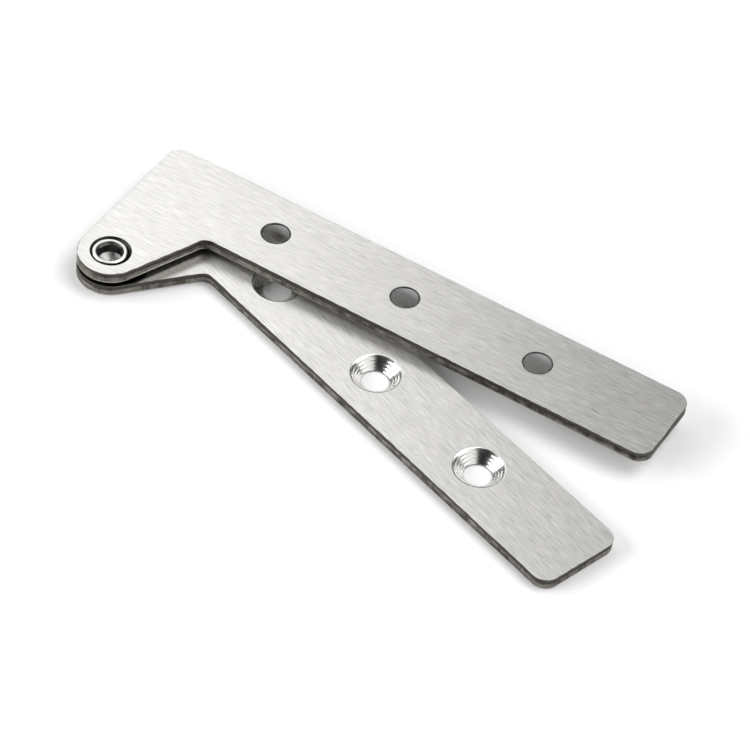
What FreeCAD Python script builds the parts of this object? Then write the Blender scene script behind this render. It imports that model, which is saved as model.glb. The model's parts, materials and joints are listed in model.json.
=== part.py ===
import FreeCAD, Part
import math
import os
from FreeCAD import Placement, Rotation, Vector

# Offset pivot hinge: two flat stamped steel leaves of one L-shaped outline, stacked one over the
# other and joined at one corner by a hollow rivet, so that they open like a penknife.
#
# Frame, in millimetres: the origin is on the pivot axis at the lower leaf's underside. +Z is up
# along the pivot axis, and +X runs along the lower leaf, from the pivot towards its far end.
# The upper leaf is swung about the pivot to its rest opening.

# ---- leaves ----
LEAF_LENGTH = 99.2             # back edge to far end
LEAF_THICKNESS = 2.0
STRIP_WIDTH = 16.0             # width of the long straight part
PIVOT_TO_OUTER_EDGE = 27.7     # how far the pivot is offset from the strip's outer edge
ROUND_END_RADIUS = 5.5         # round end about the pivot; the back edge is tangent to it
INNER_CORNER = 16.4            # back edge to the corner where the arm meets the strip
OUTER_CORNER_RADIUS = 2.6
INNER_CORNER_RADIUS = 1.8
EDGE_BREAK = 0.15              # rounding of the outline's sharp edges
REST_OPENING = 18.35           # degrees from the lower leaf to the upper one

# ---- screw holes, countersunk at 90 degrees on the side that faces the other leaf ----
HOLE_FROM_BACK_EDGE = (25.0, 50.0, 75.0)
HOLE_DIAMETER = 4.6
COUNTERSINK_DIAMETER = 8.3

# ---- pivot ----
PIVOT_BORE_DIAMETER = 5.1
PIVOT_SEAT_DIAMETER = 6.8      # mouth of the 90 degree seat for the rivet's head or rolled end
SHANK_DIAMETER = 5.0
HEAD_RECESS = 0.1              # the rivet's head and its rolled end lie under the leaves' faces
ROLLED_END_RECESS = 0.05
ROLLED_END_DIAMETER = 6.0
ROLLED_END_GAP = 0.06          # between the rolled end and the seat that turns about it
SOCKET_MOUTH_DIAMETER = 4.4
SOCKET_MOUTH_RISE = 0.4        # height of the mouth between the flare's top and the roll's crest, as a share
FUNNEL_SLOPE = 1.2             # depth over width of the funnel between the mouth and the socket
SOCKET_DIAMETER = 3.9
SOCKET_DEPTH = 2.0             # to where the drill-point floor begins
SOCKET_POINT_ANGLE = 118.0     # included angle of the floor

# ---- washer between the leaves ----
LEAF_GAP = 0.8
WASHER_DIAMETER = 9.0
WASHER_BORE_DIAMETER = 5.1
WASHER_RUNNING_GAP = 0.02      # under the leaf that turns over it

UPPER_LEAF_BOTTOM = LEAF_THICKNESS + LEAF_GAP
TOP = UPPER_LEAF_BOTTOM + LEAF_THICKNESS
COS_45 = math.sqrt(0.5)


def corner_arc(before, corner, after, radius):
    """Arc that rounds the corner between two straight runs, and its two end points."""
    back = (before - corner).normalize()
    onward = (after - corner).normalize()
    half_angle = back.getAngle(onward) / 2
    run = radius / math.tan(half_angle)
    bisector = (back + onward).normalize()
    middle = corner + bisector * (radius / math.sin(half_angle) - radius)
    start = corner + back * run
    end = corner + onward * run
    return start, Part.Arc(start, middle, end).toShape(), end


def leaf_outline():
    """Face of the leaf's plan outline at z = 0, with the pivot axis at the origin."""
    back = -ROUND_END_RADIUS
    far = back + LEAF_LENGTH
    outer = PIVOT_TO_OUTER_EDGE
    inner = outer - STRIP_WIDTH
    round_start = Vector(back, 0, 0)
    back_corner = Vector(back, outer, 0)
    far_outer_corner = Vector(far, outer, 0)
    far_inner_corner = Vector(far, inner, 0)
    inner_corner = Vector(back + INNER_CORNER, inner, 0)

    # the arm's slanted edge leaves the inner corner tangent to the round end
    corner_angle = math.atan2(inner_corner.y, inner_corner.x)
    tangent_angle = corner_angle - math.acos(ROUND_END_RADIUS / inner_corner.Length)
    round_end = on_round_end(tangent_angle)
    round_middle = on_round_end((tangent_angle - math.pi) / 2)

    path = [round_start, back_corner, far_outer_corner, far_inner_corner, inner_corner, round_end]
    radii = [OUTER_CORNER_RADIUS, OUTER_CORNER_RADIUS, OUTER_CORNER_RADIUS, INNER_CORNER_RADIUS]
    edges = []
    here = round_start
    for i, radius in enumerate(radii):
        start, arc, end = corner_arc(path[i], path[i + 1], path[i + 2], radius)
        edges.append(Part.LineSegment(here, start).toShape())
        edges.append(arc)
        here = end
    edges.append(Part.LineSegment(here, round_end).toShape())
    edges.append(Part.Arc(round_end, round_middle, round_start).toShape())
    return Part.Face(Part.Wire(edges))


def on_round_end(angle):
    """Point of the round end at an angle, in radians, from +X."""
    return Vector(math.cos(angle), math.sin(angle), 0) * ROUND_END_RADIUS


def countersunk_hole(x, y, diameter, mouth_diameter, mouth_z, depth_direction):
    """Cutter: a through hole with a 90 degree cone that narrows from its mouth into the leaf."""
    through = Part.makeCylinder(diameter / 2, LEAF_THICKNESS * 2, Vector(x, y, -LEAF_THICKNESS / 2))
    depth = (mouth_diameter - diameter) / 2
    mouth = Vector(x, y, mouth_z)
    cone = Part.makeCone(mouth_diameter / 2, diameter / 2, depth, mouth, Vector(0, 0, depth_direction))
    return through.fuse(cone)


def make_leaf():
    """Leaf from z = 0 up, with its screw countersinks on top and the rivet's seat underneath."""
    leaf = leaf_outline().extrude(Vector(0, 0, LEAF_THICKNESS))
    rim_edges = [edge for edge in leaf.Edges if edge.BoundBox.ZLength < EDGE_BREAK]
    leaf = leaf.makeFillet(EDGE_BREAK, rim_edges)
    hole_y = PIVOT_TO_OUTER_EDGE - STRIP_WIDTH / 2
    for from_back in HOLE_FROM_BACK_EDGE:
        hole_x = from_back - ROUND_END_RADIUS
        screw_hole = countersunk_hole(
            hole_x, hole_y, HOLE_DIAMETER, COUNTERSINK_DIAMETER, LEAF_THICKNESS, -1)
        leaf = leaf.cut(screw_hole)
    return leaf.cut(countersunk_hole(0, 0, PIVOT_BORE_DIAMETER, PIVOT_SEAT_DIAMETER, 0, 1))


def make_upper_leaf(leaf):
    """The same leaf turned over, so that its countersinks face down, and swung open."""
    turned = leaf.mirror(Vector(0, 0, LEAF_THICKNESS / 2), Vector(0, 0, 1))
    turned.Placement = Placement(
        Vector(0, 0, UPPER_LEAF_BOTTOM), Rotation(Vector(0, 0, 1), REST_OPENING)).multiply(turned.Placement)
    return turned


def make_rivet():
    """Semi-tubular rivet: flat countersunk head below, hollow end rolled outward on top."""
    shank = SHANK_DIAMETER / 2
    head_z = HEAD_RECESS
    head = PIVOT_SEAT_DIAMETER / 2 - HEAD_RECESS
    top_z = TOP - ROLLED_END_RECESS

    # the flare runs beside the upper seat's 45 degree cone, a small gap away from it
    rolled = ROLLED_END_DIAMETER / 2
    seat_offset = PIVOT_SEAT_DIAMETER / 2 - ROLLED_END_GAP / COS_45
    flare_top_z = TOP + rolled - seat_offset
    flare_start_z = flare_top_z - (rolled - shank)
    mouth = SOCKET_MOUTH_DIAMETER / 2
    mouth_z = flare_top_z + SOCKET_MOUTH_RISE * (top_z - flare_top_z)

    socket = SOCKET_DIAMETER / 2
    funnel_z = mouth_z - (mouth - socket) * FUNNEL_SLOPE
    floor_z = top_z - SOCKET_DEPTH
    point_z = floor_z - socket / math.tan(math.radians(SOCKET_POINT_ANGLE / 2))

    below_roll = [
        (0, head_z),
        (head, head_z),
        (shank, head_z + head - shank),
        (shank, flare_start_z),
        (rolled, flare_top_z),
    ]
    above_roll = [
        (mouth, mouth_z),
        (socket, funnel_z),
        (socket, floor_z),
        (0, point_z),
        (0, head_z),
    ]
    edges = straight_edges(below_roll)
    roll_crest = Vector((rolled + mouth) / 2, 0, top_z)
    edges.append(Part.Arc(Vector(rolled, 0, flare_top_z), roll_crest, Vector(mouth, 0, mouth_z)).toShape())
    edges += straight_edges(above_roll)
    profile = Part.Face(Part.Wire(edges))
    return profile.revolve(Vector(0, 0, 0), Vector(0, 0, 1), 360)


def straight_edges(profile):
    """Straight edges through (radius, z) points, in the XZ plane."""
    points = [Vector(radius, 0, z) for radius, z in profile]
    return [Part.LineSegment(a, b).toShape() for a, b in zip(points, points[1:])]


def make_washer():
    """Flat ring that rests on the lower leaf and spaces the upper one."""
    height = LEAF_GAP - WASHER_RUNNING_GAP
    base = Vector(0, 0, LEAF_THICKNESS)
    ring = Part.makeCylinder(WASHER_DIAMETER / 2, height, base)
    return ring.cut(Part.makeCylinder(WASHER_BORE_DIAMETER / 2, height, base))


def export(name, shape):
    """Write one piece, after making sure that it is a single valid solid."""
    solids = shape.Solids
    if len(solids) != 1 or not solids[0].isValid():
        raise ValueError(name + " is not one valid solid")
    solids[0].exportStep("parts/" + name + ".step")
    print(name, round(solids[0].Volume, 2), "mm3")


os.makedirs("parts", exist_ok=True)
lower_leaf = make_leaf()
export("lower_leaf", lower_leaf)
export("upper_leaf", make_upper_leaf(lower_leaf))
export("pivot_rivet", make_rivet())
export("spacer_washer", make_washer())
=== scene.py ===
import json
import math

import bmesh
import bpy
from mathutils import Matrix, Vector, noise


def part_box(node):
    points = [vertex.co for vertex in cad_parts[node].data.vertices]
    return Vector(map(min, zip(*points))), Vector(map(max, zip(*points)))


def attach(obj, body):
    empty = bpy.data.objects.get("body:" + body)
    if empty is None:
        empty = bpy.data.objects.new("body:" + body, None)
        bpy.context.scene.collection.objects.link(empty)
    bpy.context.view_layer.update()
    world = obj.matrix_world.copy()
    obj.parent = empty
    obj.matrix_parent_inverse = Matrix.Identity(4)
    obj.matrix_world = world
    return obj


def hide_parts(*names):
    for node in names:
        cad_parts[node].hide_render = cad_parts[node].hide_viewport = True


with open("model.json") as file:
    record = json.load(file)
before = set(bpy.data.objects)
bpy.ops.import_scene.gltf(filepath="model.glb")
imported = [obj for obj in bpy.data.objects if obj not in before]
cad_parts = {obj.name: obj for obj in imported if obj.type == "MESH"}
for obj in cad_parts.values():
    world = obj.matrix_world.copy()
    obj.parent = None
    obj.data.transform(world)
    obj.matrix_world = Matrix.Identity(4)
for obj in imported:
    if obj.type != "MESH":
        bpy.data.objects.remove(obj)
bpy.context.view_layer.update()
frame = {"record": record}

# The looks of an offset pivot hinge: two stamped, brushed stainless leaves, the hollow rivet that
# joins them and the washer between them. Every piece is rebuilt at the CAD's own size and place,
# with the rolled and sheared edges, turning rings and brushed grain that the plain solids lack.

MM = 0.001
UV_SPAN = 0.1                   # metres of surface in one unit of the "grain" UV map
ROUND_STEPS = 4                 # steps round each small rounded edge


# ---------------------------------------------------------------- sizes, from the frame

mounts = {mount["name"]: mount for mount in frame["record"]["mounts"]}
leaf_low, leaf_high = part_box("lower_leaf")
upper_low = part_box("upper_leaf")[0]
rivet_low, rivet_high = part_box("pivot_rivet")
washer_low, washer_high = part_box("spacer_washer")
centre_hole = Vector(mounts["lower_centre_screw"]["pos_m"])
swung_hole = Vector(mounts["upper_centre_screw"]["pos_m"])
hole_pitch = mounts["lower_end_screw"]["pos_m"][0] - centre_hole.x

THICKNESS = leaf_high.z - leaf_low.z
BACK_EDGE, FAR_END = leaf_low.x, leaf_high.x
OUTER_EDGE = leaf_high.y
INNER_EDGE = 2 * centre_hole.y - OUTER_EDGE     # the holes lie on the strip's middle line
ROUND_END = -leaf_low.y
HOLE_RADIUS = mounts["lower_centre_screw"]["dims"]["r_mm"] * MM
HOLE_CENTRES = [Vector((centre_hole.x + i * hole_pitch, centre_hole.y)) for i in (-1, 0, 1)]
OPENING = math.atan2(swung_hole.y, swung_hole.x) - math.atan2(centre_hole.y, centre_hole.x)

# what the frame doesn't say, as in the CAD
INNER_CORNER = 16.4 * MM        # back edge to the corner where the arm meets the strip
OUTER_CORNER_RADIUS = 2.6 * MM
INNER_CORNER_RADIUS = 1.8 * MM
COUNTERSINK_RADIUS = 4.15 * MM
SEAT_RADIUS = 3.4 * MM
PIVOT_BORE_RADIUS = 2.55 * MM


# ---------------------------------------------------------------- mesh building

ARC_STEP = 0.3 * MM             # longest gap between points on the outline's arcs
ARC_STEPS_AT_LEAST = 6
RUN_STEP = 0.6 * MM             # longest gap between points on its straight runs


def arc_points(centre, radius, first, last):
    """(point, outward normal) pairs along an arc. A negative radius makes a hollow corner."""
    count = max(ARC_STEPS_AT_LEAST, math.ceil(abs((last - first) * radius) / ARC_STEP))
    pairs = []
    for i in range(count + 1):
        angle = first + (last - first) * i / count
        normal = Vector((math.cos(angle), math.sin(angle)))
        pairs.append((centre + normal * radius, normal))
    return pairs


def leaf_outline():
    """(point, outward normal) pairs round the leaf, anticlockwise, with the pivot at the origin."""
    corner = Vector((BACK_EDGE + INNER_CORNER, INNER_EDGE))
    tangent = math.atan2(corner.y, corner.x) - math.acos(ROUND_END / corner.length)
    slant = Vector((math.cos(tangent), math.sin(tangent)))
    inner_y = INNER_EDGE - INNER_CORNER_RADIUS
    inner_x = (slant.dot(corner) + INNER_CORNER_RADIUS - slant.y * inner_y) / slant.x
    r = OUTER_CORNER_RADIUS
    quarter = math.pi / 2
    arcs = [
        (Vector((FAR_END - r, INNER_EDGE + r)), r, -quarter, 0),
        (Vector((FAR_END - r, OUTER_EDGE - r)), r, 0, quarter),
        (Vector((BACK_EDGE + r, OUTER_EDGE - r)), r, quarter, 2 * quarter),
        (Vector((0, 0)), ROUND_END, 2 * quarter, 4 * quarter + tangent),
        (Vector((inner_x, inner_y)), -INNER_CORNER_RADIUS, tangent, -quarter),
    ]
    stretches = [arc_points(*arc) for arc in arcs]
    pairs = []
    for stretch, following in zip(stretches, stretches[1:] + stretches[:1]):
        pairs += stretch
        (start, normal), (end, _) = stretch[-1], following[0]
        count = math.ceil((end - start).length / RUN_STEP)
        pairs += [(start.lerp(end, i / count), normal) for i in range(1, count)]
    return pairs


class Surface:
    """A mesh made of rings of points, with a wear attribute, finishes and the UV map "grain".

    The map's v runs along the grain and its u across it, which is the way that highlights stretch.
    """

    def __init__(self, finishes, grain_angle=0.0):
        self.bm = bmesh.new()
        self.uv = self.bm.loops.layers.uv.new("grain")
        self.wear = self.bm.verts.layers.float.new("wear")
        self.finishes = finishes
        self.to_grain = Matrix.Rotation(-grain_angle, 2)

    def ring(self, points, wear=0.0):
        """Add one closed ring of points."""
        verts = [self.bm.verts.new(point) for point in points]
        for vert in verts:
            vert[self.wear] = wear
        return verts

    def wrap(self, ring, other, finish, along, across, other_across):
        """Quads between two rings, with the grain round them.

        along holds each point's distance round the ring, and the whole length last.
        """
        count = len(ring)
        for i in range(count):
            j = (i + 1) % count
            face = self.bm.faces.new((ring[i], ring[j], other[j], other[i]))
            start, end = along[i], along[i + 1]
            places = ((across, start), (across, end), (other_across, end), (other_across, start))
            self.finish(face, finish, places)

    def cap(self, ring, point, finish, along, across, tip_across):
        """Triangles from a ring to one point on its axis, with the grain round it."""
        tip = self.bm.verts.new(point)
        count = len(ring)
        for i in range(count):
            face = self.bm.faces.new((ring[i], ring[(i + 1) % count], tip))
            start, end = along[i], along[i + 1]
            places = ((across, start), (across, end), (tip_across, (start + end) / 2))
            self.finish(face, finish, places)

    def band(self, ring, other, finish):
        """Quads between two rings that lie nearly level, with the sheet's straight grain."""
        count = len(ring)
        for i in range(count):
            j = (i + 1) % count
            self.level(self.bm.faces.new((ring[i], ring[j], other[j], other[i])), finish)

    def fill(self, rings, finish):
        """Fill the level face between an outer ring and the rings of its holes."""
        edges = []
        for ring in rings:
            edges += [self.bm.edges.get(pair) for pair in zip(ring, ring[1:] + ring[:1])]
        made = bmesh.ops.triangle_fill(self.bm, edges=edges, use_beauty=True, use_dissolve=False)
        for face in made["geom"]:
            if isinstance(face, bmesh.types.BMFace):
                self.level(face, finish)

    def level(self, face, finish):
        """Finish a nearly level face with the sheet's straight grain."""
        places = [self.to_grain @ loop.vert.co.xy for loop in face.loops]
        self.finish(face, finish, [(place.y, place.x) for place in places])

    def finish(self, face, finish, places):
        """Set a face's finish and the UV places, (across, along) in metres, of its corners."""
        face.material_index = self.finishes.index(finish)
        face.smooth = True
        for loop, place in zip(face.loops, places):
            loop[self.uv].uv = Vector(place) / UV_SPAN

    def make(self, name, materials):
        """Close the mesh into an object with one material slot for each finish."""
        bmesh.ops.recalc_face_normals(self.bm, faces=self.bm.faces)
        mesh = bpy.data.meshes.new(name)
        self.bm.to_mesh(mesh)
        self.bm.free()
        for finish in self.finishes:
            mesh.materials.append(materials[finish])
        piece = bpy.data.objects.new(name, mesh)
        bpy.context.scene.collection.objects.link(piece)
        return piece


def lengths_along(points):
    """Distance from the first point to each point of a closed ring, and the whole length last."""
    total = 0.0
    along = [0.0]
    for a, b in zip(points, points[1:] + points[:1]):
        total += (b - a).length
        along.append(total)
    return along


def circle(centre, radius, z, count):
    """Points of a level circle, anticlockwise."""
    points = []
    for i in range(count):
        angle = 2 * math.pi * i / count
        points.append(Vector((centre.x + radius * math.cos(angle),
                              centre.y + radius * math.sin(angle), z)))
    return points


def round_lengths(radius, count):
    """Distance to each point of a circle from its first, and the whole length last."""
    return [2 * math.pi * radius * i / count for i in range(count + 1)]


# ---------------------------------------------------------------- leaf

LEAF_FINISHES = ["brushed", "gap_shaded", "torn_and_shaded", "burnished_and_shaded", "turned", "bored", "seat"]
HOLE_SEGMENTS = 144

TOP_ROUND = 0.05 * MM           # radius of the deburred upper edge
EDGE_WANDER = 0.11 * MM         # how far in from a straight cut that edge wanders
FRACTURE_RECESS = 0.04 * MM     # the torn part of the cut lies this far behind the burnished part
FRACTURE_START = 4 * TOP_ROUND  # depth at which the torn part is fully set back
SHEAR_WANDER = 0.14 * MM        # how much the line between the two parts wanders
SHEAR_FINE_SHARE = 0.6          # strength of its finer wander
SHEAR_DRIFT = 0.5 * MM          # how much it drifts along the leaf
SHEAR_RISE = 0.03 * MM          # height of the small step along it
DIE_ROLL = 0.16 * MM            # radius of the lower edge, drawn round by the punch
WORN_RIM = 0.12 * MM            # how far up the cut the lower edge's wear reaches
SUPPORT = 0.02 * MM             # width of the ring beside an edge that keeps its face looking flat

# noise along the edges: features in a metre, and the slice of noise that is read
EDGE_NOISE = (900, 0)
COARSE_SHEAR_NOISE = (350, 7)
FINE_SHEAR_NOISE = (1200, 11)
DRIFT_NOISE = (45, 21)

# wear runs from 0 on the open faces to 1 on the edges
WEAR_REACH = (0.45 * MM, 1.2 * MM)      # how far from an edge wear is faint, and where it has gone
FAINT_WEAR = 0.35
NEAR_EDGE_WEAR = 0.8
TORN_WEAR = 0.2

SCREW_MOUTH_ROUND = 0.2 * MM    # the broken edge of a countersink
SEAT_MOUTH_ROUND = 0.06 * MM
PUNCH_ROUND = (0.25 * MM, 0.1 * MM)     # width and depth of a hole's edge that the punch drew in
RIDGE_COUNT = 4                 # turning ridges left on a screw hole's cone
RIDGE_DEPTH = 0.022 * MM
RIDGE_STEPS = 8                 # points down each ridge


def edge_rings(surface, outline, faces, burnish_heights, seed):
    """The leaf's rim, from its top face round the cut edge to its underside.

    Returns the rings at both ends. faces are the finishes of the top face and the underside.
    burnish_heights are the heights of the cut's burnished part at the pivot and at the far end.
    """
    def wander(point, scale, shift):
        return noise.noise(Vector((point.x * scale, point.y * scale, seed + shift)))

    def level(inset, z, wear, wander_in=0.0):
        points = []
        for point, normal in outline:
            place = point - normal * max(inset + wander_in * wander(point, *EDGE_NOISE), 0.0)
            points.append(Vector((place.x, place.y, z)))
        return surface.ring(points, wear)

    def burnish_line(inset, rise):
        points = []
        for point, normal in outline:
            share = max(0.0, min(1.0, point.x / FAR_END))
            height = burnish_heights[0] * (1 - share) + burnish_heights[1] * share
            fine = SHEAR_FINE_SHARE * wander(point, *FINE_SHEAR_NOISE)
            height += SHEAR_WANDER * (wander(point, *COARSE_SHEAR_NOISE) + fine)
            height += SHEAR_DRIFT * wander(point, *DRIFT_NOISE)
            place = point - normal * inset
            points.append(Vector((place.x, place.y, height + rise)))
        return surface.ring(points)

    faint_reach, whole_reach = WEAR_REACH
    rings = [level(whole_reach, THICKNESS, 0.0), level(faint_reach, THICKNESS, FAINT_WEAR)]
    rings.append(level(TOP_ROUND + SUPPORT, THICKNESS, NEAR_EDGE_WEAR, EDGE_WANDER))
    torn_start = len(rings)
    for i in range(ROUND_STEPS + 1):
        angle = math.pi / 2 * i / ROUND_STEPS
        inset = TOP_ROUND * (1 - math.sin(angle))
        wander_in = EDGE_WANDER * (1 - i / ROUND_STEPS)
        rings.append(level(inset, THICKNESS - TOP_ROUND * (1 - math.cos(angle)), 1.0, wander_in))
    rings.append(level(FRACTURE_RECESS, THICKNESS - FRACTURE_START, TORN_WEAR))
    rings.append(burnish_line(FRACTURE_RECESS, SHEAR_RISE))
    burnish_start = len(rings) - 1
    rings.append(burnish_line(0.0, 0.0))
    rings.append(level(0.0, DIE_ROLL + WORN_RIM, 0.0))
    for i in range(ROUND_STEPS + 1):
        angle = math.pi / 2 * i / ROUND_STEPS
        inset = DIE_ROLL * (1 - math.cos(angle))
        rings.append(level(inset, DIE_ROLL * (1 - math.sin(angle)), 1.0))
    rings.append(level(faint_reach, 0.0, FAINT_WEAR))

    along = lengths_along([point for point, _ in outline])
    heights = [ring[0].co.z for ring in rings]
    for i, (ring, other) in enumerate(zip(rings, rings[1:])):
        if i < torn_start:
            surface.band(ring, other, faces[0])
        elif i == len(rings) - 2:
            surface.band(ring, other, faces[1])
        else:
            finish = "torn_and_shaded" if i < burnish_start else "burnished_and_shaded"
            surface.wrap(ring, other, finish, along, heights[i], heights[i + 1])
    return rings[0], rings[-1]


def curve_points(start, corner, end):
    """(radius, depth) points of a rounded corner, without its start."""
    controls = (start, corner, end)
    points = []
    for i in range(1, ROUND_STEPS + 1):
        t = i / ROUND_STEPS
        shares = ((1 - t) ** 2, 2 * t * (1 - t), t ** 2)
        points.append(tuple(sum(share * control[axis] for share, control in zip(shares, controls))
                            for axis in (0, 1)))
    return points


def countersink_profile(countersink, hole, mouth_round, ridges):
    """(radius, depth) points down a countersunk hole: its cone, then its wall to the other face.

    countersink and hole are radii. ridges is how many turning ridges the cone has.
    """
    cone_depth = countersink - hole
    mouth = (countersink + mouth_round, 0.0)
    cone_drop = mouth_round * math.sqrt(0.5)
    cone_start = (countersink - cone_drop, cone_drop)
    punch_width, punch_depth = PUNCH_ROUND
    land_end = (hole, THICKNESS - punch_depth)
    plain_mouth = (hole + punch_width, THICKNESS)

    cone = [mouth] + curve_points(mouth, (countersink, 0.0), cone_start)
    count = RIDGE_STEPS * max(ridges, 1)
    for i in range(1, count + 1):
        share = i / count
        height = RIDGE_DEPTH * math.sin(math.pi * ridges * share) ** 2
        depth = cone_drop + (cone_depth - cone_drop) * share
        cone.append((countersink - depth - height, depth - height))
    wall = [land_end] + curve_points(land_end, (hole, THICKNESS), plain_mouth)
    return cone, wall


def hole_rings(surface, faces, centre, cone, wall, opens_up, cone_finish):
    """The walls of one hole. Returns its end rings on the leaf's top face and underside."""
    mouth_face, plain_face = faces if opens_up else reversed(faces)
    profile = [(cone[0][0] + SUPPORT, 0.0)] + cone + wall + [(wall[-1][0] + SUPPORT, THICKNESS)]
    rings = []
    for radius, depth in profile:
        z = THICKNESS - depth if opens_up else depth
        rings.append(surface.ring(circle(centre, radius, z, HOLE_SEGMENTS)))
    along = round_lengths(HOLE_RADIUS, HOLE_SEGMENTS)
    travelled = 0.0
    for i, (ring, other) in enumerate(zip(rings, rings[1:])):
        onward = travelled + math.dist(profile[i], profile[i + 1])
        if i == 0:
            surface.band(ring, other, mouth_face)
        elif i == len(rings) - 2:
            surface.band(ring, other, plain_face)
        else:
            # the hole's straight land is painted near black, as shade
            finish = cone_finish if i < len(cone) else "bored"
            surface.wrap(ring, other, finish, along, travelled, onward)
        travelled = onward
    return (rings[0], rings[-1]) if opens_up else (rings[-1], rings[0])


def make_leaf(name, materials, countersinks_up, grain_angle, burnish_heights, seed):
    """A leaf in its own frame: pivot axis at the origin, underside at z = 0.

    The face with the screw countersinks lies against the other leaf, so it carries the painted
    shade of the gap round the pivot.
    """
    surface = Surface(LEAF_FINISHES, grain_angle)
    faces = ("gap_shaded", "brushed") if countersinks_up else ("brushed", "gap_shaded")
    top_rings, under_rings = [], []
    top, under = edge_rings(surface, leaf_outline(), faces, burnish_heights, seed)
    top_rings.append(top)
    under_rings.append(under)
    screw = countersink_profile(COUNTERSINK_RADIUS, HOLE_RADIUS, SCREW_MOUTH_ROUND, RIDGE_COUNT)
    seat = countersink_profile(SEAT_RADIUS, PIVOT_BORE_RADIUS, SEAT_MOUTH_ROUND, 0)
    holes = [(centre, *screw, countersinks_up, "turned") for centre in HOLE_CENTRES]
    holes.append((Vector((0, 0)), *seat, not countersinks_up, "seat"))
    for hole in holes:
        top, under = hole_rings(surface, faces, *hole)
        top_rings.append(top)
        under_rings.append(under)
    surface.fill(top_rings, faces[0])
    surface.fill(under_rings, faces[1])
    return surface.make(name, materials)


# ---------------------------------------------------------------- turned pieces

ROUND_SEGMENTS = 96
GRAIN_RADIUS = 3 * MM           # the rivet's grain is unrolled at this radius


def revolve(name, materials, profile, finishes, shift):
    """A turned piece from (radius, z) points that start and end on the axis.

    finishes has one entry for each stretch of the profile. shift moves each point of the rings.
    """
    surface = Surface(sorted(set(finishes)))
    along = round_lengths(GRAIN_RADIUS, ROUND_SEGMENTS)
    travelled = 0.0
    rings = []
    for radius, z in profile[1:-1]:
        points = circle(Vector((0, 0)), radius, z, ROUND_SEGMENTS)
        rings.append(surface.ring([shift(point) for point in points]))
    first, last = profile[0], profile[-1]
    surface.cap(rings[0], Vector((0, 0, first[1])), finishes[0], along, 0.0, -profile[1][0])
    for i, (ring, other) in enumerate(zip(rings, rings[1:])):
        a, b = Vector(profile[i + 1]), Vector(profile[i + 2])
        onward = travelled + (b - a).length
        surface.wrap(ring, other, finishes[i + 1], along, travelled, onward)
        travelled = onward
    tip = Vector((0, 0, last[1]))
    surface.cap(rings[-1], tip, finishes[-1], along, travelled, travelled + profile[-2][0])
    return surface.make(name, materials)


def arc_profile(centre, radii, first, last, count, squareness=1.0):
    """(radius, z) points of an arc in a turned profile, angles in degrees from outward.

    radii are the arc's half width and half height. A squareness over 1 flattens its crest and sides
    towards a rounded box.
    """
    def flatten(value):
        return math.copysign(abs(value) ** (1 / squareness), value)

    points = []
    for i in range(count + 1):
        angle = math.radians(first + (last - first) * i / count)
        points.append((centre[0] + radii[0] * flatten(math.cos(angle)),
                       centre[1] + radii[1] * flatten(math.sin(angle))))
    return points


# the rolled end
LIP_RADIUS = 2.9 * MM           # outside of the lip, a little inside the CAD's
LIP_HEIGHT = 0.24 * MM
LIP_TUCK = 0.01 * MM            # the lip's lower edge lies this far in from its side
LIP_STEPS = 18
LIP_ARC = 165                   # degrees that the lip turns through, from its side to the mouth
LIP_SQUARENESS = 1.8
LIP_CREST = 13                  # steps of the lip in the light rolled steel; the rest of the lip is painted dark, as shade
LIP_INNER_RINGS = 2             # stretches inside the mouth that are painted dark like the lip's inside, as shade
LIP_SHIFT = 0.15 * MM           # the clench isn't quite true to the axis
LIP_SHIFT_ANGLE = math.radians(225)
LIP_RIPPLE = 0.012              # share of the radius by which the clench wanders
LIP_RIPPLE_NOISE = (700, 3.0)   # features in a metre, and the slice of noise that is read

# the socket inside it, and the shank and head
MOUTH_RADIUS = 2.2 * MM
MOUTH_ROUND = (0.06 * MM, 0.05 * MM)    # in from the mouth and down, where its rounding ends
FUNNEL_END = (0.02 * MM, 0.30 * MM)     # out from the socket's wall, and down from the lip
WALL_START = 0.42 * MM          # down from the lip to the socket's straight wall
SOCKET_RADIUS = 1.95 * MM
SOCKET_DEPTH = 2.0 * MM
WALL_END = 0.05 * MM            # up from the socket's floor to the straight wall's end
FLOOR_ROUND = (0.04 * MM, 0.01 * MM)    # in from the wall and down, where the drill's cone starts
DRILL_POINT = math.radians(59)  # half of the drill's point angle
DRILL_TIP = (0.1, 0.11 * MM)    # the blunt tip: its share of the socket's radius, and its height
DRILLED_RINGS = 3
SHANK_RADIUS = 2.5 * MM
HEAD_EDGE = 0.05 * MM


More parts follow.
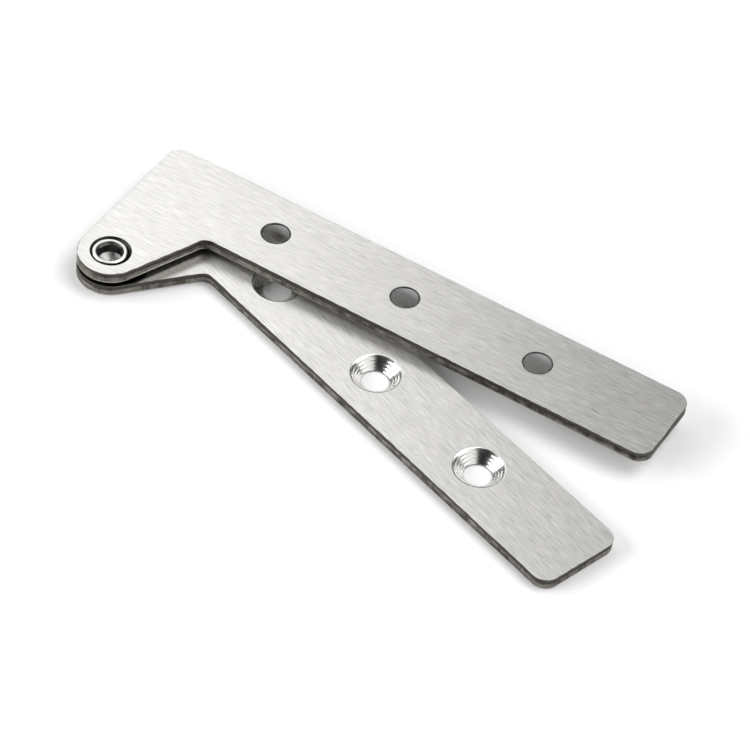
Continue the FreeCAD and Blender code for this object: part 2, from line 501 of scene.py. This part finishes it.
def make_rivet(materials):
    """Semi-tubular rivet: flat countersunk head below, hollow end rolled outward on top."""
    low, high = rivet_low.z, rivet_high.z
    head = rivet_high.x
    cone_end = low + head - SHANK_RADIUS
    lip_middle = (LIP_RADIUS + MOUTH_RADIUS) / 2
    lip_half = (LIP_RADIUS - MOUTH_RADIUS) / 2
    lip_low = high - LIP_HEIGHT
    flare_start = lip_low - (LIP_RADIUS - SHANK_RADIUS)
    floor = high - SOCKET_DEPTH
    drill_tip = floor - SOCKET_RADIUS / math.tan(DRILL_POINT)

    outside = [
        (0, low),
        (head * 0.5, low),
        (head - HEAD_EDGE, low),
        (head, low + HEAD_EDGE),
        (SHANK_RADIUS, cone_end),
        (SHANK_RADIUS, (cone_end + flare_start) / 2),
        (SHANK_RADIUS, flare_start),
        (LIP_RADIUS - LIP_TUCK, lip_low - LIP_TUCK),
    ]
    lip = arc_profile((lip_middle, lip_low), (lip_half, high - lip_low), 0, LIP_ARC, LIP_STEPS,
                      LIP_SQUARENESS)
    inside = [
        (MOUTH_RADIUS - MOUTH_ROUND[0], lip_low - MOUTH_ROUND[1]),
        (SOCKET_RADIUS + FUNNEL_END[0], lip_low - FUNNEL_END[1]),
        (SOCKET_RADIUS, lip_low - WALL_START),
        (SOCKET_RADIUS, floor + WALL_END),
        (SOCKET_RADIUS - FLOOR_ROUND[0], floor - FLOOR_ROUND[1]),
        (SOCKET_RADIUS * 0.5, (floor + drill_tip) / 2),
        (SOCKET_RADIUS * DRILL_TIP[0], drill_tip + DRILL_TIP[1]),
        (0, drill_tip),
    ]
    profile = outside + lip + inside
    finishes = ["worn"] * (len(outside) - 1)
    finishes += ["rolled"] * LIP_CREST
    finishes += ["worn"] * (len(lip) - LIP_CREST + LIP_INNER_RINGS)
    finishes += ["bored"] * (len(profile) - 1 - DRILLED_RINGS - len(finishes))
    finishes += ["drilled"] * DRILLED_RINGS

    scale, noise_slice = LIP_RIPPLE_NOISE
    lip_shift = Vector((math.cos(LIP_SHIFT_ANGLE), math.sin(LIP_SHIFT_ANGLE), 0)) * LIP_SHIFT

    def clench(point):
        """Wander and shift the rolled end, the more the nearer it is to its crest."""
        share = max(0.0, min(1.0, (point.z - flare_start) / (lip_low - flare_start)))
        wander = noise.noise(Vector((point.x * scale, point.y * scale, noise_slice)))
        ripple = 1 + LIP_RIPPLE * share * wander
        return Vector((point.x * ripple, point.y * ripple, point.z)) + lip_shift * share

    return revolve("hollow_rivet", materials, profile, finishes, clench)


WASHER_EDGE = 0.12 * MM         # radius of the washer's rounded edges


def make_washer(materials):
    """Flat ring with rounded edges, closed on itself."""
    low, high = washer_low.z, washer_high.z
    outer, bore, edge = washer_high.x, PIVOT_BORE_RADIUS, WASHER_EDGE
    corners = [                 # radius and z of each rounded edge's centre, and its first angle
        (outer - edge, low + edge, -90), (outer - edge, high - edge, 0),
        (bore + edge, high - edge, 90), (bore + edge, low + edge, 180),
    ]
    profile = []
    for r, z, start in corners:
        profile += arc_profile((r, z), (edge, edge), start, start + 90, ROUND_STEPS)
    surface = Surface(["nylon"])
    along = round_lengths(outer, ROUND_SEGMENTS)
    rings = [surface.ring(circle(Vector((0, 0)), r, z, ROUND_SEGMENTS)) for r, z in profile]
    for i, (ring, other) in enumerate(zip(rings, rings[1:] + rings[:1])):
        surface.wrap(ring, other, "nylon", along, i * edge, (i + 1) * edge)
    return surface.make("nylon_washer", materials)


# ---------------------------------------------------------------- materials

MIX_COLOURS = (6, 7)            # the Mix node's two colour inputs
MIX_RESULT = 2                  # and its colour output
STREAK_ROUGHNESS = 0.55
SHADE_REACH = (5.4 * MM, 6.6 * MM)     # how far from the pivot's axis the painted shade fades out


class Recipe:
    """A new material, with short ways to add nodes to it and join them."""

    def __init__(self, name, metallic, roughness, anisotropic=0.0):
        self.material = bpy.data.materials.new(name)
        self.material.use_nodes = True
        self.nodes = self.material.node_tree.nodes
        self.links = self.material.node_tree.links
        self.shader = self.nodes["Principled BSDF"]
        self.shader.inputs["Metallic"].default_value = metallic
        self.shader.inputs["Roughness"].default_value = roughness
        self.shader.inputs["Anisotropic"].default_value = anisotropic

    def add(self, kind, **settings):
        """A new shader node of a kind, with its settings."""
        node = self.nodes.new("ShaderNode" + kind)
        for key, value in settings.items():
            setattr(node, key, value)
        return node

    def join(self, output, target):
        """Feed an output, or a plain number or colour, to an input."""
        if isinstance(output, bpy.types.NodeSocket):
            self.links.new(output, target)
        else:
            target.default_value = output

    def maths(self, operation, first, second=0.0, third=0.0):
        """The result of a sum on outputs or plain numbers."""
        node = self.add("Math", operation=operation)
        for value, target in zip((first, second, third), node.inputs):
            self.join(value, target)
        return node.outputs[0]

    def blend(self, share, first, second):
        """A colour between two colours."""
        node = self.add("Mix", data_type="RGBA")
        self.join(share, node.inputs["Factor"])
        for value, index in zip((first, second), MIX_COLOURS):
            self.join(value, node.inputs[index])
        return node.outputs[MIX_RESULT]

    def span(self, value, low, high, to_low=0.0, to_high=1.0):
        """Map a value from low..high to to_low..to_high, held at both ends."""
        node = self.add("MapRange")
        for number, target in zip((value, low, high, to_low, to_high), node.inputs):
            self.join(number, target)
        return node.outputs[0]

    def grain_place(self):
        """The grain UV map as a vector: across the grain, then along it."""
        return self.add("UVMap", uv_map="grain").outputs["UV"]

    def streaks(self, length, width, detail=2.0, shift=0.0):
        """Noise of about 0..1 in streaks of a length and width, in metres, along the grain."""
        mapping = self.add("Mapping")
        mapping.inputs["Location"].default_value = (shift, shift * 0.7, shift)
        mapping.inputs["Scale"].default_value = (UV_SPAN / width, UV_SPAN / length, 1)
        self.join(self.grain_place(), mapping.inputs["Vector"])
        return self.noise_at(mapping.outputs["Vector"], 1.0, detail, STREAK_ROUGHNESS)

    def noise_at(self, place, scale, detail=2.0, roughness=0.5):
        """Noise of about 0..1 at a place."""
        node = self.add("TexNoise")
        self.join(place, node.inputs["Vector"])
        node.inputs["Scale"].default_value = scale
        node.inputs["Detail"].default_value = detail
        node.inputs["Roughness"].default_value = roughness
        return node.outputs["Fac"]

    def patches(self, size, detail=2.0):
        """Noise in the piece's own space, with features of about a size in metres."""
        place = self.add("TexCoord").outputs["Object"]
        return self.noise_at(place, 1 / size, detail)

    def from_axis(self):
        """Distance from the pivot's axis in metres."""
        level = self.add("VectorMath", operation="MULTIPLY")
        self.join(self.add("TexCoord").outputs["Object"], level.inputs[0])
        level.inputs[1].default_value = (1, 1, 0)
        length = self.add("VectorMath", operation="LENGTH")
        self.join(level.outputs["Vector"], length.inputs[0])
        return length.outputs["Value"]

    def wear(self):
        """0 on open faces, rising to 1 on the edges."""
        return self.add("Attribute", attribute_name="wear").outputs["Fac"]

    def grain_tangent(self):
        """Stretch highlights across the grain."""
        node = self.add("Tangent", direction_type="UV_MAP", uv_map="grain")
        self.join(node.outputs["Tangent"], self.shader.inputs["Tangent"])

    def bump(self, height, depth, under=None):
        """Bump of a real depth in metres. under is a bump that lies beneath this one."""
        node = self.add("Bump")
        node.inputs["Strength"].default_value = 1.0
        node.inputs["Distance"].default_value = depth
        self.join(height, node.inputs["Height"])
        if under:
            self.join(under, node.inputs["Normal"])
        self.join(node.outputs["Normal"], self.shader.inputs["Normal"])
        return node.outputs["Normal"]

    def surface(self, colour, roughness):
        """Finish the material with its colour and roughness."""
        self.join(colour, self.shader.inputs["Base Color"])
        self.join(roughness, self.shader.inputs["Roughness"])
        return self.material


def grey(level, warmth=0.02):
    """A slightly warm grey."""
    return (level * (1 + warmth / 2), level, level * (1 - warmth), 1.0)


def brushed_steel(name, gap_shaded):
    """Sheet face, brushed along the leaf: short fine streaks over longer, softer ones.

    A face that lies against the other leaf has a dark painted shade round the pivot, standing in
    for the shade in the gap between the leaves.
    """
    recipe = Recipe(name, metallic=1.0, roughness=0.3, anisotropic=0.78)
    recipe.grain_tangent()
    fine = recipe.streaks(2.8 * MM, 0.22 * MM, detail=2.0)
    middle = recipe.streaks(8 * MM, 0.5 * MM, detail=2.0, shift=3.1)
    broad = recipe.streaks(30 * MM, 4.0 * MM, detail=2.0, shift=7.7)
    scratch = recipe.span(recipe.streaks(16 * MM, 0.24 * MM, detail=1.0, shift=12.3), 0.62, 0.78)
    grain = recipe.maths("MULTIPLY_ADD", middle, 0.3, recipe.maths("MULTIPLY", fine, 0.7))

    colour = recipe.blend(recipe.span(grain, 0.25, 0.75), grey(0.51), grey(0.93, 0.03))
    colour = recipe.blend(recipe.span(broad, 0.35, 0.65, 0.0, 0.12), colour, grey(0.60, 0.04))
    colour = recipe.blend(recipe.maths("MULTIPLY", scratch, 0.2), colour, grey(0.95))
    rough = recipe.span(grain, 0.30, 0.70, 0.27, 0.34)
    rough = recipe.maths("MULTIPLY_ADD", recipe.wear(), 0.04, rough)
    if gap_shaded:
        pivot_shade = recipe.span(recipe.from_axis(), *SHADE_REACH, 1.0, 0.0)
        # painted shade: the face turns near black round the pivot, where the gap between the leaves
        # lies in shade
        colour = recipe.blend(pivot_shade, colour, grey(0.03, 0.15))
    under = recipe.bump(broad, 0.015 * MM)
    recipe.bump(grain, 0.0055 * MM, under)
    return recipe.surface(colour, rough)


def torn_and_shaded_steel():
    """The torn part of the punched edge, also laid on the rounded top edge: rough and dragged
    through the sheet's thickness, with a near-black colour that is painted shade for the shaded
    floor that the cut edges reflect.
    """
    recipe = Recipe("torn_edge_steel_painted_shade", metallic=1.0, roughness=0.5)
    drag = recipe.streaks(0.22 * MM, 1.6 * MM, detail=3.0)
    blotch = recipe.patches(1.3 * MM, detail=3.0)
    tone = recipe.maths("MULTIPLY_ADD", drag, 0.6, recipe.maths("MULTIPLY", blotch, 0.4))
    # painted shade: near-black tones that stand in for the shade on the cut edge
    colour = recipe.blend(recipe.span(tone, 0.35, 0.65), grey(0.030, 0.14), grey(0.11, 0.10))
    colour = recipe.blend(recipe.maths("MULTIPLY", recipe.wear(), 0.3), colour, grey(0.20, 0.06))
    recipe.bump(tone, 0.035 * MM)
    return recipe.surface(colour, recipe.span(blotch, 0.3, 0.7, 0.42, 0.58))


def burnished_and_shaded_steel():
    """The burnished part of the punched edge: smoother and lighter than the torn part, with fine
    drag lines; its dark base colour is painted shade for the shaded floor that the cut edges
    reflect.
    """
    recipe = Recipe("burnished_edge_steel_painted_shade", metallic=1.0, roughness=0.3)
    drag = recipe.streaks(0.16 * MM, 2.0 * MM, detail=2.0)
    blotch = recipe.patches(1.8 * MM, detail=3.0)
    tone = recipe.maths("MULTIPLY_ADD", blotch, 0.6, recipe.maths("MULTIPLY", drag, 0.4))
    # painted shade: the dark base tones stand in for the shade on the cut edge; the blend to a
    # light grey on the edges is real wear
    colour = recipe.blend(recipe.span(tone, 0.40, 0.60), grey(0.070, 0.16), grey(0.24, 0.11))
    colour = recipe.blend(recipe.maths("MULTIPLY", recipe.wear(), 0.8), colour, grey(0.62, 0.04))
    recipe.bump(drag, 0.012 * MM)
    return recipe.surface(colour, recipe.span(blotch, 0.3, 0.7, 0.28, 0.42))


def turned_steel():
    """The screw holes' countersinks: turning rings that run round the hole."""
    recipe = Recipe("turned_hole_steel", metallic=1.0, roughness=0.2, anisotropic=0.3)
    recipe.grain_tangent()
    rings = recipe.streaks(400 * MM, 0.18 * MM, detail=1.0)
    patches = recipe.patches(1.2 * MM)
    colour = recipe.blend(recipe.span(rings, 0.3, 0.7), grey(0.56), grey(0.74))
    rough = recipe.span(patches, 0.3, 0.7, 0.22, 0.28)
    recipe.bump(rings, 0.001 * MM)
    return recipe.surface(colour, rough)


def rivet_steel(name, dark, light, low_roughness, high_roughness):
    """Formed or drilled steel: mottled, with faint rings round the axis."""
    recipe = Recipe(name, metallic=1.0, roughness=0.25, anisotropic=0.3)
    recipe.grain_tangent()
    rings = recipe.streaks(300 * MM, 0.14 * MM, detail=2.0)
    patches = recipe.patches(0.9 * MM, detail=3.0)
    tone = recipe.maths("MULTIPLY_ADD", patches, 0.6, recipe.maths("MULTIPLY", rings, 0.4))
    colour = recipe.blend(recipe.span(tone, 0.35, 0.65), grey(dark, 0.04), grey(light))
    rough = recipe.span(patches, 0.3, 0.7, low_roughness, high_roughness)
    recipe.bump(tone, 0.006 * MM)
    return recipe.surface(colour, rough)


def dark_nylon():
    """Moulded nylon, with the slight mottle of its skin."""
    recipe = Recipe("dark_nylon", metallic=0.0, roughness=0.5)
    mottle = recipe.patches(0.5 * MM, detail=3.0)
    colour = recipe.blend(mottle, grey(0.012), grey(0.035))
    recipe.bump(mottle, 0.01 * MM)
    return recipe.surface(colour, recipe.span(mottle, 0.3, 0.7, 0.42, 0.58))


def floor_paper():
    """Plain pale studio paper."""
    recipe = Recipe("studio_paper", metallic=0.0, roughness=0.9)
    fibre = recipe.patches(60 * MM, detail=2.0)
    recipe.shader.inputs["Specular IOR Level"].default_value = 0.1
    return recipe.surface(recipe.blend(fibre, grey(0.86, 0.0), grey(0.88, 0.0)), 0.9)


# ---------------------------------------------------------------- assembly

materials = {
    "brushed": brushed_steel("brushed_sheet_steel", False),
    # the faces that lie against the other leaf carry painted shade round the pivot
    "gap_shaded": brushed_steel("inner_sheet_steel_painted_shade", True),
    "torn_and_shaded": torn_and_shaded_steel(),
    "burnished_and_shaded": burnished_and_shaded_steel(),
    "turned": turned_steel(),
    # darkest and lightest tone, lowest and highest roughness
    "rolled": rivet_steel("rolled_rivet_steel", 0.62, 0.80, 0.24, 0.36),
    # painted shade: near-black walls in the screw holes' lands and the rivet's socket, standing in
    # for the shade inside them
    "bored": rivet_steel("bored_steel_painted_shade", 0.03, 0.10, 0.38, 0.52),
    # painted shade: the rivet's seat is near black, standing in for the shade in the gap round the
    # rivet's lip
    "seat": rivet_steel("seat_steel_painted_shade", 0.015, 0.05, 0.42, 0.56),
    "drilled": rivet_steel("drilled_rivet_steel", 0.45, 0.66, 0.44, 0.56),
    # painted shade: the rivet's head, shank, the lip's slopes and the top of its mouth are dark,
    # standing in for shade round the lip and in the socket
    "worn": rivet_steel("rivet_steel_painted_shade", 0.12, 0.28, 0.30, 0.46),
    "nylon": dark_nylon(),
}

GRAIN_ANGLE = math.radians(1.5)         # the brushing runs this far off each leaf's length
LOWER_BURNISH = (1.2 * MM, 1.2 * MM)    # heights of the burnished edge, at the pivot and far end
UPPER_BURNISH = (1.2 * MM, 0.9 * MM)
LOWER_SEED = 1.0
UPPER_SEED = 5.0

lower = make_leaf("lower_leaf_detailed", materials, True, -GRAIN_ANGLE, LOWER_BURNISH, LOWER_SEED)
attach(lower, "lower")
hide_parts("lower_leaf")

upper = make_leaf("upper_leaf_detailed", materials, False, GRAIN_ANGLE, UPPER_BURNISH, UPPER_SEED)
upper.data.transform(Matrix.Translation((0, 0, upper_low.z)) @ Matrix.Rotation(OPENING, 4, "Z"))
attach(upper, "upper")
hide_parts("upper_leaf")

rivet = make_rivet(materials)
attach(rivet, "lower")
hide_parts("pivot_rivet")

washer = make_washer(materials)
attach(washer, "lower")
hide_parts("spacer_washer")


# ---------------------------------------------------------------- floor, lights and camera

FLOOR_HALF = 3.0                # half of its side, in metres
FLOOR_GAP = 0.02 * MM           # keeps the floor clear of the lower leaf's underside
CAMERA_TARGET = Vector((46.59, 17.30, 4.83)) * MM
CAMERA_AZIMUTH = math.radians(44.10)
CAMERA_ELEVATION = math.radians(45.87)
CAMERA_ROLL = math.radians(7.69)
CAMERA_DISTANCE = 548.5 * MM
CAMERA_LENS = 165.27
SENSOR_WIDTH = 36
CLIP_RANGE = (0.01, 50)
WORLD_LEVEL = 0.13
DARK_LEVEL = 0.01
DARK_SIDE = (14, 38)            # azimuth and elevation, in degrees
DARK_SPREAD = (41, 5)           # half angle, and half the width of its soft edge, in degrees
LIGHTS = [                      # name, azimuth, elevation, distance, (width, height), watts
    ("back", 250, 48, 0.6, (0.46, 0.45), 0.885),
    ("left", 322, 24, 0.8, (0.8, 0.36), 6.2),
    ("right", 108, 36, 0.8, (1.2, 0.65), 2.7),
    ("high", 158, 60, 1.1, (0.85, 0.85), 7.8),
    ("over", 298, 66, 1.2, (0.5, 0.5), 0.6),
]


def direction(azimuth, elevation):
    """Unit vector towards an azimuth and elevation. Azimuth 0 is -Y and a quarter turn is +X."""
    level = math.cos(elevation)
    return Vector((math.sin(azimuth) * level, -math.cos(azimuth) * level, math.sin(elevation)))


def make_floor():
    """A wide sheet of studio paper under the lower leaf."""
    mesh = bpy.data.meshes.new("floor")
    h = FLOOR_HALF
    mesh.from_pydata([(-h, -h, 0), (h, -h, 0), (h, h, 0), (-h, h, 0)], [], [(0, 1, 2, 3)])
    mesh.materials.append(floor_paper())
    floor = bpy.data.objects.new("floor", mesh)
    floor.location.z = leaf_low.z - FLOOR_GAP
    bpy.context.scene.collection.objects.link(floor)


def make_light(name, azimuth, elevation, distance, size, power):
    """A rectangular softbox that faces the object."""
    data = bpy.data.lights.new(name, "AREA")
    data.shape = "RECTANGLE"
    data.size, data.size_y = size
    data.energy = power
    light = bpy.data.objects.new(name, data)
    towards = direction(math.radians(azimuth), math.radians(elevation))
    light.location = CAMERA_TARGET + towards * distance
    light.rotation_mode = "QUATERNION"
    light.rotation_quaternion = towards.to_track_quat("Z", "Y")
    light.visible_camera = False
    bpy.context.scene.collection.objects.link(light)


def make_camera():
    """A long lens that looks down on the hinge and is rolled a little."""
    data = bpy.data.cameras.new("camera")
    data.sensor_width = SENSOR_WIDTH
    data.lens = CAMERA_LENS
    data.clip_start, data.clip_end = CLIP_RANGE
    camera = bpy.data.objects.new("camera", data)
    back = direction(CAMERA_AZIMUTH, CAMERA_ELEVATION)
    level_right = Vector((math.cos(CAMERA_AZIMUTH), math.sin(CAMERA_AZIMUTH), 0))
    level_up = back.cross(level_right)
    right = level_right * math.cos(CAMERA_ROLL) + level_up * math.sin(CAMERA_ROLL)
    up = level_up * math.cos(CAMERA_ROLL) - level_right * math.sin(CAMERA_ROLL)
    turn = Matrix((right, up, back)).transposed()
    camera.matrix_world = Matrix.Translation(CAMERA_TARGET + back * CAMERA_DISTANCE) @ turn.to_4x4()
    bpy.context.scene.collection.objects.link(camera)
    bpy.context.scene.camera = camera


def make_world():
    """An even studio with a dark part beside the camera."""
    world = bpy.data.worlds.new("studio")
    world.use_nodes = True
    nodes, links = world.node_tree.nodes, world.node_tree.links
    place = nodes.new("ShaderNodeTexCoord")
    towards_dark = nodes.new("ShaderNodeVectorMath")
    towards_dark.operation = "DOT_PRODUCT"
    towards_dark.inputs[1].default_value = direction(*(math.radians(angle) for angle in DARK_SIDE))
    links.new(place.outputs["Generated"], towards_dark.inputs[0])
    level = nodes.new("ShaderNodeMapRange")
    level.interpolation_type = "SMOOTHSTEP"
    spread, edge = (math.radians(angle) for angle in DARK_SPREAD)
    limits = (math.cos(spread + edge), math.cos(spread - edge), WORLD_LEVEL, DARK_LEVEL)
    for value, target in zip(limits, level.inputs[1:]):
        target.default_value = value
    links.new(towards_dark.outputs["Value"], level.inputs[0])
    background = nodes["Background"]
    background.inputs["Color"].default_value = (1, 1, 1, 1)
    links.new(level.outputs[0], background.inputs["Strength"])
    bpy.context.scene.world = world
    bpy.context.scene.view_settings.view_transform = "Standard"


make_floor()
make_world()
for light in LIGHTS:
    make_light(*light)
make_camera()
